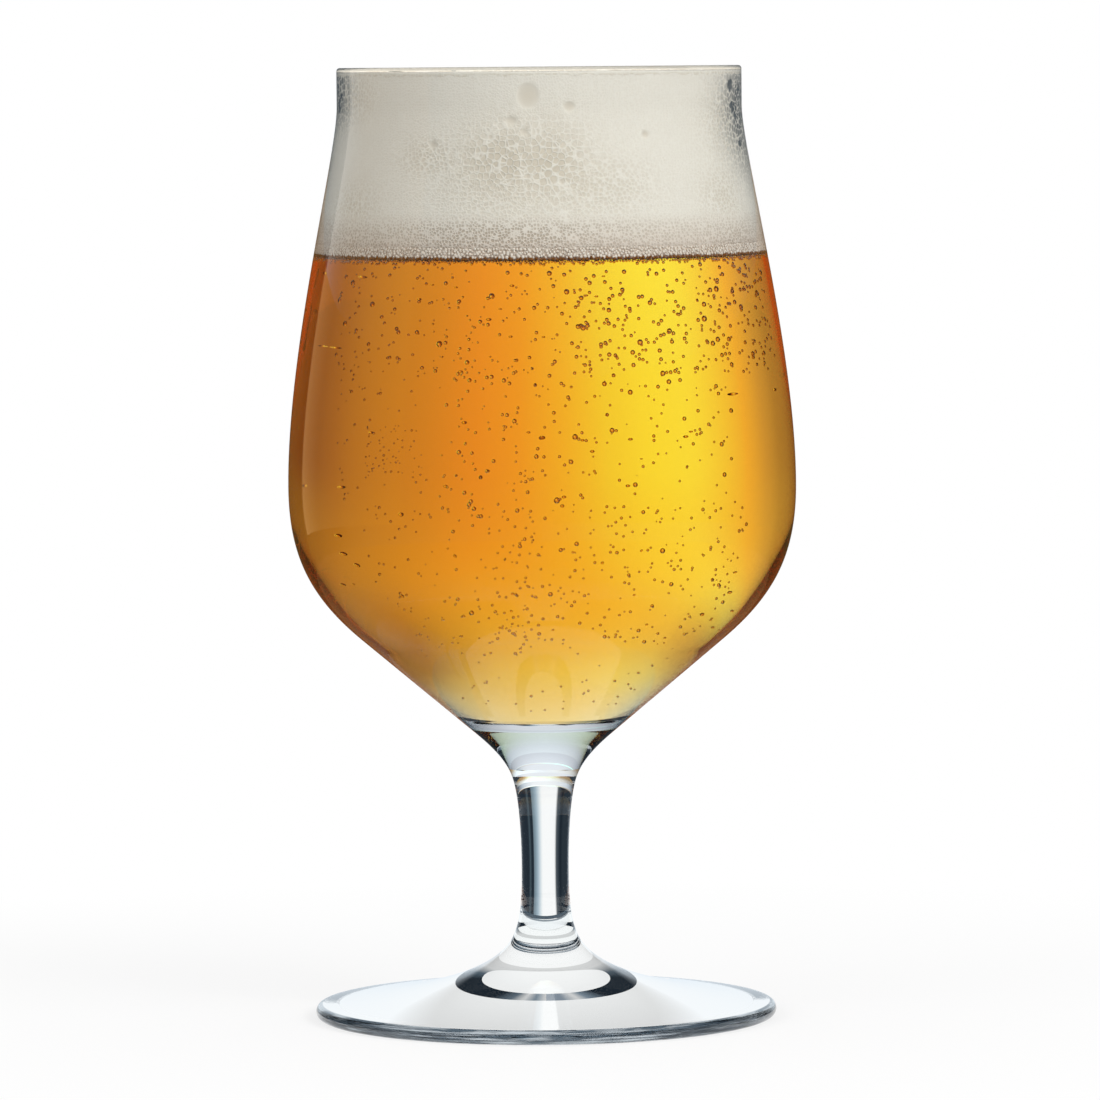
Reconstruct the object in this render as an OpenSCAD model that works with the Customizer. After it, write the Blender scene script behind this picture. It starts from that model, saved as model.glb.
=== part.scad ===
// Stemmed tulip glass filled with beer. The foot, the stem and the bowl are three gathers of
// clear glass that are fused end to end at two seams, and the bowl holds the beer and its head.
// Every piece is turned about the Z axis. The glass stands on the plane Z = 0.

/* [Foot] */
// Diameter of the foot at its rounded edge
foot_diameter = 82.6; // [70:0.2:96]
// Height of the foot from the table to its seam with the stem
foot_height = 14; // [10:0.5:20]
// Thickness of the foot at its rounded edge
foot_edge = 2.6; // [2:0.1:5]
// Width of the flat ring that the glass stands on
foot_ring = 3.2; // [2:0.1:8]
// Depth of the hollow under the middle of the foot
foot_hollow = 2; // [0.5:0.1:3]

/* [Stem] */
// Length of the stem from seam to seam
stem_length = 29.3; // [18:0.1:60]
// Diameter of the stem where it is thinnest
stem_diameter = 8.4; // [7:0.1:10.5]
// Diameter of the seam between the foot and the stem
foot_seam_diameter = 12.1; // [11:0.1:16]
// Diameter of the seam between the stem and the bowl
bowl_seam_diameter = 11.7; // [11:0.1:16]

/* [Bowl] */
// Height of the bowl from its seam to the rim
bowl_height = 126.7; // [105:0.1:150]
// Diameter of the bowl at its widest
belly_diameter = 90.7; // [80:0.1:105]
// Diameter of the rim
rim_diameter = 72.1; // [60:0.1:80]
// Thickness of the wall at the rim, whose edge is fully rounded
rim_wall = 1.2; // [0.8:0.1:2]
// Thickness of the wall at the belly
belly_wall = 1.4; // [1:0.1:2.5]
// Thickness of the wall in the cone below the belly, measured level
cone_wall = 2.9; // [2:0.1:4]
// Solid glass between the seam and the floor of the bowl
base_thickness = 9.7; // [8:0.1:14]

/* [Beer] */
// Drop from the rim to the line where the foam sits on the beer
head_line = 34; // [24:0.5:60]
// Drop from the rim to the foam where it clings to the wall
foam_drop = 1.4; // [0.8:0.1:4]
// Sag of the foam in the middle of the mouth, below where it clings to the wall
foam_sag = 6.5; // [5:0.1:10]

/* [Hidden] */

// Faces round each turned piece, and steps along each curve of an outline
facets = 128;
curve_steps = 16;

// Radii
foot_radius = foot_diameter / 2;
stem_radius = stem_diameter / 2;
foot_seam_radius = foot_seam_diameter / 2;
bowl_seam_radius = bowl_seam_diameter / 2;
belly_radius = belly_diameter / 2;
rim_radius = rim_diameter / 2;

// Heights above the table
bowl_seam_height = foot_height + stem_length;
glass_height = bowl_seam_height + bowl_height;
floor_height = bowl_seam_height + base_thickness;
beer_height = glass_height - head_line;
foam_height = glass_height - foam_drop;

// Top of the foot: where its curve leaves the edge, as shares of its run inwards and of its rise
foot_top_shares = [0.655, 0.206];
// How long the foot's curve follows the stem below the seam, as a share of its rise
foot_top_pull_share = 0.41;
// Height of the stem's thinnest place, as a share of the stem's length
neck_height_share = 0.427;
// Outline of the bowl: shares of its widest radius and of its height at both ends of the cone
cone_start_shares = [0.27, 0.061];
cone_end_shares = [0.715, 0.195];
// Shares of the bowl's height at its widest place and where the lip starts to stand upright
belly_height_share = 0.412;
lip_height_share = 0.945;
// Rise of the bowl's rounded floor up to the cone, as a share of the base's thickness
floor_rise_share = 0.46;
// How far the floor stays level, and how long it follows the cone, as shares of its run and rise
floor_pull_shares = [0.5, 0.5];
// Shape of the foam's top: how far it stays level, and how steeply it climbs the wall
foam_level_share = 0.72;
foam_cling_share = 0.8;

// How long each rising curve follows the slope at its lower and its upper end, as shares of its rise
stem_low_pull_shares = [0.24, 0.4];
stem_high_pull_shares = [0.417, 0.179];
flare_pull_shares = [0.39, 0.29];
belly_pull_shares = [0.29, 0.436];
shoulder_pull_shares = [0.363, 0.124];

// Slopes of the outline, in radius gained for each height gained
foot_seam_slope = -0.545;
bowl_seam_slope = 0.38;
upright = 0;

// Outline points, each as [radius, height]
foot_seam = [foot_seam_radius, foot_height];
neck = [stem_radius, foot_height + neck_height_share * stem_length];
bowl_seam = [bowl_seam_radius, bowl_seam_height];
cone_start = [cone_start_shares[0] * belly_radius, bowl_seam_height + cone_start_shares[1] * bowl_height];
cone_end = [cone_end_shares[0] * belly_radius, bowl_seam_height + cone_end_shares[1] * bowl_height];
belly = [belly_radius, bowl_seam_height + belly_height_share * bowl_height];
lip = [rim_radius, bowl_seam_height + lip_height_share * bowl_height];
cone_slope = (cone_end[0] - cone_start[0]) / (cone_end[1] - cone_start[1]);

// Level distance from the outside of the wall to its inside
cone_inset = [cone_wall, 0];
belly_inset = [belly_wall, 0];
rim_inset = [rim_wall, 0];

// Points of a cubic curve after its first point
function curve(from, from_handle, to_handle, to) = [
    for (step = [1 : curve_steps])
        let (t = step / curve_steps, u = 1 - t)
            u * u * u * from + 3 * u * u * t * from_handle + 3 * u * t * t * to_handle + t * t * t * to
];

// A curve that rises from one point to another and leaves each along its own slope
function rising(from, from_slope, to, to_slope, pull_shares) =
    let (rise = to[1] - from[1])
        curve(from,
              from + pull_shares[0] * rise * [from_slope, 1],
              to - pull_shares[1] * rise * [to_slope, 1],
              to);

// Points of a circular arc, both ends included
function arc(centre, radius, from_angle, to_angle) = [
    for (step = [0 : curve_steps])
        let (angle = from_angle + (to_angle - from_angle) * step / curve_steps)
            centre + radius * [cos(angle), sin(angle)]
];

// Outside of the bowl from its seam up to the lip
bowl_outside = concat(
    [bowl_seam],
    rising(bowl_seam, bowl_seam_slope, cone_start, cone_slope, flare_pull_shares),
    [cone_end],
    rising(cone_end, cone_slope, belly, upright, belly_pull_shares),
    rising(belly, upright, lip, upright, shoulder_pull_shares)
);

// Inside of the bowl from the middle of its floor up to the rounded edge of the rim
floor_middle = [0, floor_height];
floor_rise = floor_rise_share * base_thickness;
floor_edge = [
    cone_start[0] + cone_slope * (floor_height + floor_rise - cone_start[1]) - cone_wall,
    floor_height + floor_rise
];
bowl_inside = concat(
    [floor_middle],
    curve(floor_middle,
          floor_middle + [floor_pull_shares[0] * floor_edge[0], 0],
          floor_edge - floor_pull_shares[1] * floor_rise * [cone_slope, 1],
          floor_edge),
    [cone_end - cone_inset],
    rising(cone_end - cone_inset, cone_slope, belly - belly_inset, upright, belly_pull_shares),
    rising(belly - belly_inset, upright, lip - rim_inset, upright, shoulder_pull_shares),
    [[rim_radius - rim_wall, glass_height - rim_wall / 2]]
);

// Radius of the bowl's inside at a height
function inside_radius(height) = lookup(height, [for (point = bowl_inside) [point[1], point[0]]]);

// Points of the bowl's inside from one height up to another
function inside_between(low, high) = concat(
    [[inside_radius(low), low]],
    [for (point = bowl_inside) if (point[1] > low && point[1] < high) point],
    [[inside_radius(high), high]]
);

// A solid turned about the Z axis from an outline of [radius, height] points
module turned(outline) {
    rotate_extrude($fn = facets) polygon(outline);
}

// Foot: flat resting ring, fully rounded edge, low cone swept up to the stem, hollow underneath
module foot() {
    edge_radius = foot_edge / 2;
    edge_centre = [foot_radius - edge_radius, edge_radius];
    ring_inner = edge_centre[0] - foot_ring;
    run = edge_centre[0] - foot_seam_radius;
    rise = foot_height - foot_edge;
    handle = [-foot_top_shares[0] * run, foot_top_shares[1] * rise];
    edge = arc(edge_centre, edge_radius, -90, atan2(-handle[0], handle[1]));
    top_start = edge[curve_steps];
    top_handle = foot_seam - foot_top_pull_share * rise * [foot_seam_slope, 1];
    hollow = [
        for (step = [0 : curve_steps])
            let (share = step / curve_steps)
                [ring_inner * share, foot_hollow * (1 - share * share)]
    ];
    color([0.86, 0.92, 0.95, 0.5])
        turned(concat(hollow, edge, curve(top_start, top_start + handle, top_handle, foot_seam),
                      [[0, foot_height]]));
}

// Stem: drawn out thin between its two seams
module stem() {
    color([0.84, 0.91, 0.95, 0.5])
        turned(concat([[0, foot_height], foot_seam],
                      rising(foot_seam, foot_seam_slope, neck, upright, stem_low_pull_shares),
                      rising(neck, upright, bowl_seam, bowl_seam_slope, stem_high_pull_shares),
                      [[0, bowl_seam_height]]));
}

// Bowl: solid base, cone, belly, drawn-in shoulder and upright lip with a rounded edge
module bowl() {
    rim_edge = arc([rim_radius - rim_wall / 2, glass_height - rim_wall / 2], rim_wall / 2, 0, 180);
    inside_count = len(bowl_inside);
    inside_downwards = [for (index = [2 : inside_count]) bowl_inside[inside_count - index]];
    color([0.88, 0.94, 0.97, 0.4])
        turned(concat([[0, bowl_seam_height]], bowl_outside, rim_edge, inside_downwards));
}

// Beer: fills the bowl from its floor to the head line
module beer() {
    color([0.93, 0.62, 0.14])
        turned(concat(inside_between(floor_height, beer_height), [[0, beer_height]]));
}

// Head of foam: stands on the beer, clings to the wall and sags in the middle of the mouth
module foam_head() {
    wall_radius = inside_radius(foam_height);
    cling = [wall_radius, foam_height];
    middle = [0, foam_height - foam_sag];
    top = curve(cling,
                cling - [0, foam_cling_share * foam_sag],
                middle + [foam_level_share * wall_radius, 0],
                middle);
    color([0.95, 0.93, 0.88])
        turned(concat([[0, beer_height]], inside_between(beer_height, foam_height), top));
}

foot();
stem();
bowl();
beer();
foam_head();
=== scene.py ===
# %% [markdown]
# # A stemmed tulip glass of beer
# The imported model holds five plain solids: the foot, the stem and the bowl of one clear glass, and the
# beer and the head of foam inside it. They fix every size. This script makes a finer surface for each of
# them in the same place, with what a solid can't show: gas bubbles, the cells of the foam, and materials.

import bpy
import numpy as np
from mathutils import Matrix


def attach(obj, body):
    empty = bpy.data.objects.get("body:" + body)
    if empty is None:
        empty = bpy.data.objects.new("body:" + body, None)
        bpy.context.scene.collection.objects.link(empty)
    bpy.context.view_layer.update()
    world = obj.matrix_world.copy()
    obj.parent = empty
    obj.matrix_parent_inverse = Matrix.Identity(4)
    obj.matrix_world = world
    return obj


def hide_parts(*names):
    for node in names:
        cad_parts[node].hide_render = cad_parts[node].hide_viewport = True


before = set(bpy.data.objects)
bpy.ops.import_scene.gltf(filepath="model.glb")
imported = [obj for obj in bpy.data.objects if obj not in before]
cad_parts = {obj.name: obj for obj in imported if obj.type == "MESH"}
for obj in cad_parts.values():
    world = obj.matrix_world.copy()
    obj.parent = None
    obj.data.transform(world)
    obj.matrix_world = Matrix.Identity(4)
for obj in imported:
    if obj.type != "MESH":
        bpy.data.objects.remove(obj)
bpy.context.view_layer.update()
MM = 0.001
print("solids:", sorted(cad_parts))

# %% [markdown]
# ## The camera
# The rim looks like a straight line, so the lens is level with it, 170 mm above the table. The foot shows
# a little of its top, which puts the camera about 1.3 m away with a long lens. The frame leans by half a
# degree, and the camera leans with it. The numbers were fitted to the outline of the glass.

# %% Place the camera
CAMERA_DISTANCE, CAMERA_HEIGHT = 1310 * MM, 170 * MM
TILT, ROLL = np.radians(3.767), np.radians(-0.457)
FRAME_PIXELS, FOCAL_PIXELS, AXIS_OFFSET_PIXELS = 1100, 7343, 7.3
SENSOR_WIDTH = 36

lens = bpy.data.cameras.new("photo_lens")
lens.sensor_width = SENSOR_WIDTH
lens.lens = SENSOR_WIDTH * FOCAL_PIXELS / FRAME_PIXELS
lens.shift_x = AXIS_OFFSET_PIXELS / FRAME_PIXELS
camera = bpy.data.objects.new("photo_camera", lens)
camera.location = (0, -CAMERA_DISTANCE, CAMERA_HEIGHT)
camera.rotation_mode = "ZYX"
camera.rotation_euler = (np.pi / 2 - TILT, 0, ROLL)
bpy.context.scene.collection.objects.link(camera)
bpy.context.scene.camera = camera
bpy.context.scene.view_settings.view_transform = "Standard"
print("lens in mm:", round(lens.lens, 1))

# %% [markdown]
# ## Curves
# A blown and drawn glass has no straight edge anywhere: its section is a run of smooth curves, and the
# whole form is that section turned about one axis. The curves could be drawn by hand, but a cubic curve
# needs only two ends and two handles, so a few numbers in millimetres say all there is to say.

# %% Curves of the section
CURVE_STEPS, ARC_STEPS = 40, 16
SAME_POINT = 1e-6


def curve(start, start_handle, end_handle, end, steps=CURVE_STEPS):
    """Cubic curve: ends and handles blended with the weights u^3, 3u^2 t, 3u t^2 and t^3, where u = 1 - t."""
    t = np.linspace(0, 1, steps + 1)[:, None]
    u = 1 - t
    ends = np.array([start, start_handle, end_handle, end], float)
    return u**3 * ends[0] + 3 * u * u * t * ends[1] + 3 * u * t * t * ends[2] + t**3 * ends[3]


def rising(start, start_slope, end, end_slope, pulls):
    """Curve that climbs from one point to another: each handle lies along its own slope, a share of the rise away."""
    start, end = np.array(start, float), np.array(end, float)
    rise = end[1] - start[1]
    start_handle = start + pulls[0] * rise * np.array([start_slope, 1])
    end_handle = end - pulls[1] * rise * np.array([end_slope, 1])
    return curve(start, start_handle, end_handle, end)


def arc(centre, radius, first, last):
    """Part of a circle: centre plus radius times (cos, sin) of angles spread evenly from first to last, in degrees."""
    angle = np.radians(np.linspace(first, last, ARC_STEPS + 1))
    return np.array(centre) + radius * np.column_stack([np.cos(angle), np.sin(angle)])


def joined(*runs):
    """Runs of points end to end, without the point that two neighbours share."""
    points = np.vstack([np.atleast_2d(run) for run in runs])
    moved = np.r_[True, np.linalg.norm(np.diff(points, axis=0), axis=1) > SAME_POINT]
    return points[moved]


print("points on a curve and on an arc:", CURVE_STEPS + 1, ARC_STEPS + 1)

# %% [markdown]
# ## Sizes
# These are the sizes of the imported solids, in millimetres, so that each surface lies where its solid does.
# Two of them are finer readings of the photo: the corner of the bowl's floor is tighter than the solid's,
# and the line between beer and foam is half a millimetre higher.

# %% Sizes of the section in millimetres
FOOT_RADIUS, FOOT_HEIGHT, FOOT_EDGE, FOOT_RING, FOOT_HOLLOW = 41.3, 14.0, 2.6, 3.2, 2.0
FOOT_SEAM, BOWL_SEAM, NECK = (6.05, 14.0), (5.85, 43.3), (4.2, 26.5111)
FOOT_SEAM_SLOPE, BOWL_SEAM_SLOPE = -0.545, 0.38
BELLY_RADIUS, RIM_RADIUS, GLASS_HEIGHT, BOWL_HEIGHT = 45.35, 36.05, 170.0, 126.7
CONE_WALL, BELLY_WALL, RIM_WALL, FLOOR_HEIGHT, FLOOR_RISE = 2.9, 1.4, 1.2, 53.0, 2.037
BEER_HEIGHT, FOAM_HEIGHT, FOAM_SAG = 136.5, 168.6, 6.5


def on_bowl(radius, height_share):
    """Point of the bowl's outline: a radius, and a share of the bowl's height above its seam."""
    return np.array([radius, BOWL_SEAM[1] + height_share * BOWL_HEIGHT])


CONE_START, CONE_END = on_bowl(0.27 * BELLY_RADIUS, 0.061), on_bowl(0.715 * BELLY_RADIUS, 0.195)
BELLY, LIP = on_bowl(BELLY_RADIUS, 0.412), on_bowl(RIM_RADIUS, 0.945)
CONE_SLOPE = (CONE_END[0] - CONE_START[0]) / (CONE_END[1] - CONE_START[1])
FLARE_PULLS, BELLY_PULLS, SHOULDER_PULLS = (0.39, 0.29), (0.29, 0.436), (0.363, 0.124)
print("slope of the cone:", round(CONE_SLOPE, 3))

# %% Outside and inside of the bowl
CONE_POINTS, INNER_CONE_POINTS = 13, 9
FLOOR_LEVEL_SHARE, FLOOR_FOLLOW_SHARE = 0.85, 0.5

bowl_outside = joined(
    rising(BOWL_SEAM, BOWL_SEAM_SLOPE, CONE_START, CONE_SLOPE, FLARE_PULLS),
    np.linspace(CONE_START, CONE_END, CONE_POINTS),
    rising(CONE_END, CONE_SLOPE, BELLY, 0, BELLY_PULLS),
    rising(BELLY, 0, LIP, 0, SHOULDER_PULLS),
)
floor_top = FLOOR_HEIGHT + FLOOR_RISE
floor_edge = np.array([CONE_START[0] + CONE_SLOPE * (floor_top - CONE_START[1]) - CONE_WALL, floor_top])
inner_cone_end, inner_belly, inner_lip = CONE_END - [CONE_WALL, 0], BELLY - [BELLY_WALL, 0], LIP - [RIM_WALL, 0]
bowl_inside = joined(
    curve(
        (0, FLOOR_HEIGHT),
        (FLOOR_LEVEL_SHARE * floor_edge[0], FLOOR_HEIGHT),
        floor_edge - FLOOR_FOLLOW_SHARE * FLOOR_RISE * np.array([CONE_SLOPE, 1]),
        floor_edge,
    ),
    np.linspace(floor_edge, inner_cone_end, INNER_CONE_POINTS),
    rising(inner_cone_end, CONE_SLOPE, inner_belly, 0, BELLY_PULLS),
    rising(inner_belly, 0, inner_lip, 0, SHOULDER_PULLS),
    (RIM_RADIUS - RIM_WALL, GLASS_HEIGHT - RIM_WALL / 2),
)


def inside_radius(height):
    """Radius of the bowl's inside at each height, read off the inner outline."""
    return np.interp(height, bowl_inside[:, 1], bowl_inside[:, 0])


print("points outside and inside the bowl:", len(bowl_outside), len(bowl_inside))

# %% [markdown]
# ## From outline to mesh
# Blender could turn an outline with the Screw modifier. Worked out with numpy instead, the grid is known
# point by point: two ends on the axis become single points, the last column meets the first, and each
# band of the outline can carry its own finish. That matters for glass, where one wall has air on it and
# the next has beer.

# %% Mesh pieces
def made_piece(name, points, faces, finishes, face_finish):
    """Object at the origin whose mesh has these points, in mm, and faces; each face takes one of the finishes."""
    mesh = bpy.data.meshes.new(name)
    mesh.from_pydata((np.asarray(points) * MM).tolist(), [], faces)
    for finish in finishes:
        mesh.materials.append(finish)
    mesh.polygons.foreach_set("material_index", np.asarray(face_finish, np.int32))
    mesh.polygons.foreach_set("use_smooth", np.ones(len(faces), bool))
    mesh.update()
    piece = bpy.data.objects.new(name, mesh)
    bpy.context.scene.collection.objects.link(piece)
    print(name, "points", len(mesh.vertices), "triangles", sum(len(face) - 2 for face in faces))
    return piece


def belongs(piece, node):
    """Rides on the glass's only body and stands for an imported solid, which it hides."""
    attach(piece, "root")
    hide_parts(node)
    return piece


# %% Turned surfaces
AROUND = 192


def grid_faces(rows, around):
    """Faces of rings closed round the axis and capped by two poles, with the band number of every face."""
    row, column = np.meshgrid(np.arange(rows - 1), np.arange(around), indexing="ij")
    after = (column + 1) % around
    low, high = row * around, (row + 1) * around
    quads = np.stack([low + column, low + after, high + after, high + column], -1)
    side = np.arange(around)
    following = (side + 1) % around
    first_pole, last_pole, last_row = rows * around, rows * around + 1, (rows - 1) * around
    bottom = np.stack([np.full(around, first_pole), following, side], -1)
    top = np.stack([last_row + side, last_row + following, np.full(around, last_pole)], -1)
    faces = quads.reshape(-1, 4).tolist() + bottom.tolist() + top.tolist()
    bands = np.r_[(row + 1).ravel(), np.zeros(around, int), np.full(around, rows, int)]
    return faces, bands


def turned(outline, around=AROUND):
    """A point (r, z) of the outline at angle a goes to (r cos a, r sin a, z). The outline starts and ends on the
    axis, where each ring shrinks to one point. Returns points, faces, and the outline band of every face."""
    ring = outline[1:-1]
    angle = np.linspace(0, 2 * np.pi, around, endpoint=False)
    height = np.repeat(ring[:, 1:], around, axis=1)
    grid = np.stack([ring[:, :1] * np.cos(angle), ring[:, :1] * np.sin(angle), height], axis=-1).reshape(-1, 3)
    points = np.vstack([grid, [0, 0, outline[0, 1]], [0, 0, outline[-1, 1]]])
    return points, *grid_faces(len(ring), around)


print("sides of a turned piece:", AROUND)

# %% [markdown]
# ## Materials
# A material is a small graph of nodes. Drawn by hand in the editor it would be hard to read again, so one
# function adds a node with its settings and links, and each finish is written as a short list of such
# nodes. Colours are the hex values that a paint program shows, turned to the linear light that Blender
# reckons with.

# %% Helpers for materials
def to_linear(hex_colour):
    """sRGB hex to linear: v / 12.92 below 0.04045, else ((v + 0.055) / 1.055) ^ 2.4; alpha 1."""
    value = np.array([int(hex_colour[i : i + 2], 16) for i in (1, 3, 5)]) / 255
    linear = np.where(value <= 0.04045, value / 12.92, ((value + 0.055) / 1.055) ** 2.4)
    return (*linear.tolist(), 1.0)


def add_node(tree, kind, settings, links=()):
    """One node: settings go to its sockets, by name or number, or else to its properties; links are (socket, input)."""
    made = tree.nodes.new(kind)
    for key, value in settings.items():
        if isinstance(key, int) or key in made.inputs:
            made.inputs[key].default_value = value
        else:
            setattr(made, key, value)
    for source, key in links:
        tree.links.new(source, made.inputs[key])
    return made


def new_finish(name):
    """Empty node material and its tree."""
    finish = bpy.data.materials.new(name)
    finish.use_nodes = True
    finish.node_tree.nodes.clear()
    return finish, finish.node_tree


WHITE = to_linear("#FFFFFF")
print("middle grey in linear light:", round(to_linear("#808080")[0], 3))

# %% [markdown]
# ## Clear glass
# The glass is soda-lime or crystalline stemware glass, fire-polished until nothing is left on its surface
# but very slow ripples. It shows what stands around it, bent, with an index of refraction of 1.5. Where
# beer or wet foam touches the wall, light meets a step of only 1.5 / 1.345 = 1.115. Where two gathers are
# fused there is no surface for light to notice, so that face has index 1.
#
# Three places are eased. Low in the cone the thick wall is given a larger step, as if the beer next to it were thinner,
# because it then takes its light from behind and not from the sides. The solid base is a strong lens: a low index keeps
# it pale, and a painted shade that darkens it as the surface turns away from the eye stands in for the dark edges of
# thick glass. The underside of the foot bends light less too, so that the table shows.

# %% Fire-polished glass with air, with beer and at a seam
GLASS_INDEX, BEER_INDEX, THIN_BEER_INDEX = 1.5, 1.345, 1.06
BASE_INDEX, UNDERSIDE_INDEX = 1.12, 1.1
RIPPLE, RIPPLE_LENGTH, RIPPLE_DEPTH = 0.12, 14 * MM, 0.3 * MM
EASED_FROM, EASED_TO = 64 * MM, 91 * MM
TURNED_FROM, TURNED_TO = 0.25, 0.85


def glass_finish(name, index, ripple=RIPPLE, eased=False, edge_shades=None):
    """Smooth clear glass whose surface swells slowly, with a period of about 14 mm, as hand-finished glass does.
    eased: the index changes with height, as a smooth step, from that of glass on thin beer, low in the cone, to the
    index given.
    edge_shades: a colour for glass seen straight on and a darker one for glass that turns away from the eye, a painted
    shade for the dark edges of thick glass."""
    finish, tree = new_finish(name)
    place = add_node(tree, "ShaderNodeTexCoord", {}).outputs["Object"]
    swell = add_node(tree, "ShaderNodeTexNoise", {"Scale": 1 / RIPPLE_LENGTH, "Detail": 1.0}, [(place, "Vector")])
    bump = {"Strength": ripple, "Distance": RIPPLE_DEPTH}
    bump = add_node(tree, "ShaderNodeBump", bump, [(swell.outputs["Fac"], "Height")])
    shader = add_node(
        tree,
        "ShaderNodeBsdfPrincipled",
        {"Base Color": to_linear("#FCFEFE"), "Roughness": 0.0, "IOR": index, "Transmission Weight": 1.0},
        [(bump.outputs["Normal"], "Normal")],
    )
    if edge_shades:
        # Painted shade: the base colour darkens as the surface turns away from the eye, for the dark edges of thick
        # glass
        facing = add_node(tree, "ShaderNodeLayerWeight", {"Blend": 0.5}).outputs["Facing"]
        turning = {"From Min": TURNED_FROM, "From Max": TURNED_TO}
        turning = add_node(tree, "ShaderNodeMapRange", turning, [(facing, "Value")])
        depth = {"data_type": "RGBA", 6: to_linear(edge_shades[0]), 7: to_linear(edge_shades[1])}
        depth = add_node(tree, "ShaderNodeMix", depth, [(turning.outputs["Result"], 0)])
        tree.links.new(depth.outputs[2], shader.inputs["Base Color"])
    if eased:
        height = add_node(tree, "ShaderNodeSeparateXYZ", {}, [(place, 0)]).outputs["Z"]
        ease = {"interpolation_type": "SMOOTHSTEP", "From Min": EASED_FROM, "From Max": EASED_TO}
        ease |= {"To Min": GLASS_INDEX / THIN_BEER_INDEX, "To Max": index}
        ease = add_node(tree, "ShaderNodeMapRange", ease, [(height, "Value")])
        tree.links.new(ease.outputs["Result"], shader.inputs["IOR"])
    add_node(tree, "ShaderNodeOutputMaterial", {}, [(shader.outputs["BSDF"], "Surface")])
    return finish


clear_glass = glass_finish("fire_polished_glass", GLASS_INDEX)
wetted_glass = glass_finish("glass_wetted_by_beer", GLASS_INDEX / BEER_INDEX)
eased_glass = glass_finish("glass_wetted_by_thin_beer", GLASS_INDEX / BEER_INDEX, eased=True)
fused_seam = glass_finish("fused_glass_seam", 1.0, ripple=0.0)
base_glass = glass_finish("glass_of_solid_base", BASE_INDEX, edge_shades=("#E6ECF2", "#2C3844"))
pressed_glass = glass_finish("glass_under_foot", UNDERSIDE_INDEX)
print("index of wetted glass:", round(GLASS_INDEX / BEER_INDEX, 4))

# %% [markdown]
# ## Edge of the foot
# Looked at edge on, the foot is 80 mm of glass in a row, and the faint blue-grey of the glass shows at last, broken
# into streaks by light that runs round inside the rim. A path tracer would need very many bounces for that, so the
# streaks are painted light and shade: a noise stretched along the edge picks the colour.

# %% Glass seen edge on
STREAK_LENGTH, STREAK_HEIGHT = 10 * MM, 0.6 * MM


def edge_finish():
    """Edge of the foot: blue-grey streaks of painted light and shade that follow the edge, about 10 mm long and 0.6 mm
    high.
    """
    finish, tree = new_finish("glass_seen_edge_on")
    place = add_node(tree, "ShaderNodeTexCoord", {}).outputs["Object"]
    drawn = {"Scale": (1 / STREAK_LENGTH, 1 / STREAK_LENGTH, 1 / STREAK_HEIGHT)}
    drawn = add_node(tree, "ShaderNodeMapping", drawn, [(place, "Vector")]).outputs["Vector"]
    streaks = {"Scale": 1.0, "Detail": 3.0, "Roughness": 0.6}
    streaks = add_node(tree, "ShaderNodeTexNoise", streaks, [(drawn, "Vector")])
    tone = add_node(tree, "ShaderNodeValToRGB", {}, [(streaks.outputs["Fac"], "Fac")])
    for stop, colour, position in zip(tone.color_ramp.elements, ("#1B2732", "#A9B8C4"), (0.44, 0.72)):
        stop.color, stop.position = to_linear(colour), position
    shader = {"Roughness": 0.0, "IOR": GLASS_INDEX, "Transmission Weight": 1.0}
    shader = add_node(tree, "ShaderNodeBsdfPrincipled", shader, [(tone.outputs["Color"], "Base Color")])
    add_node(tree, "ShaderNodeOutputMaterial", {}, [(shader.outputs["BSDF"], "Surface")])
    return finish


GLASS_FINISHES = [clear_glass, wetted_glass, fused_seam, eased_glass, base_glass, pressed_glass, edge_finish()]
AIR, WETTED, SEAM, EASED, BASE, UNDERSIDE, EDGE = range(len(GLASS_FINISHES))
print("finishes of glass:", [finish.name for finish in GLASS_FINISHES])

# %% [markdown]
# ## Foot, stem and bowl
# On the real glass these are three gathers, made one after the other and fused while hot. They could be
# one mesh, but each is its own closed surface here, because each stands for a solid. The two faces of a
# seam are drawn apart by a hair at the axis: faces in exactly the same place trap light and turn black.
# The bowl casts no shadow, since a renderer treats clear glass as a solid shade and would leave the foam
# inside it unlit.

# %% Outlines of the three pieces of glass
FOOT_TOP_SHARES, FOOT_FOLLOW_SHARE = (-0.655, 0.206), 0.41
FOOT_TOP_STEPS, HOLLOW_POINTS = 72, 33
STEM_LOW_PULLS, STEM_HIGH_PULLS = (0.24, 0.4), (0.417, 0.179)
SEAM_GAP = 0.03

edge_centre = np.array([FOOT_RADIUS - FOOT_EDGE / 2, FOOT_EDGE / 2])
top_rise = FOOT_HEIGHT - FOOT_EDGE
top_handle = np.array([FOOT_TOP_SHARES[0] * (edge_centre[0] - FOOT_SEAM[0]), FOOT_TOP_SHARES[1] * top_rise])
foot_edge = arc(edge_centre, FOOT_EDGE / 2, -90, np.degrees(np.arctan2(-top_handle[0], top_handle[1])))
hollow_share = np.linspace(0, 1, HOLLOW_POINTS)
foot_hollow = np.column_stack([(edge_centre[0] - FOOT_RING) * hollow_share, FOOT_HOLLOW * (1 - hollow_share**2)])
seam_handle = np.array(FOOT_SEAM) - FOOT_FOLLOW_SHARE * top_rise * np.array([FOOT_SEAM_SLOPE, 1])
foot_top = curve(foot_edge[-1], foot_edge[-1] + top_handle, seam_handle, FOOT_SEAM, FOOT_TOP_STEPS)
foot_outline = joined(foot_hollow, foot_edge, foot_top, (0, FOOT_HEIGHT - SEAM_GAP))
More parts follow.
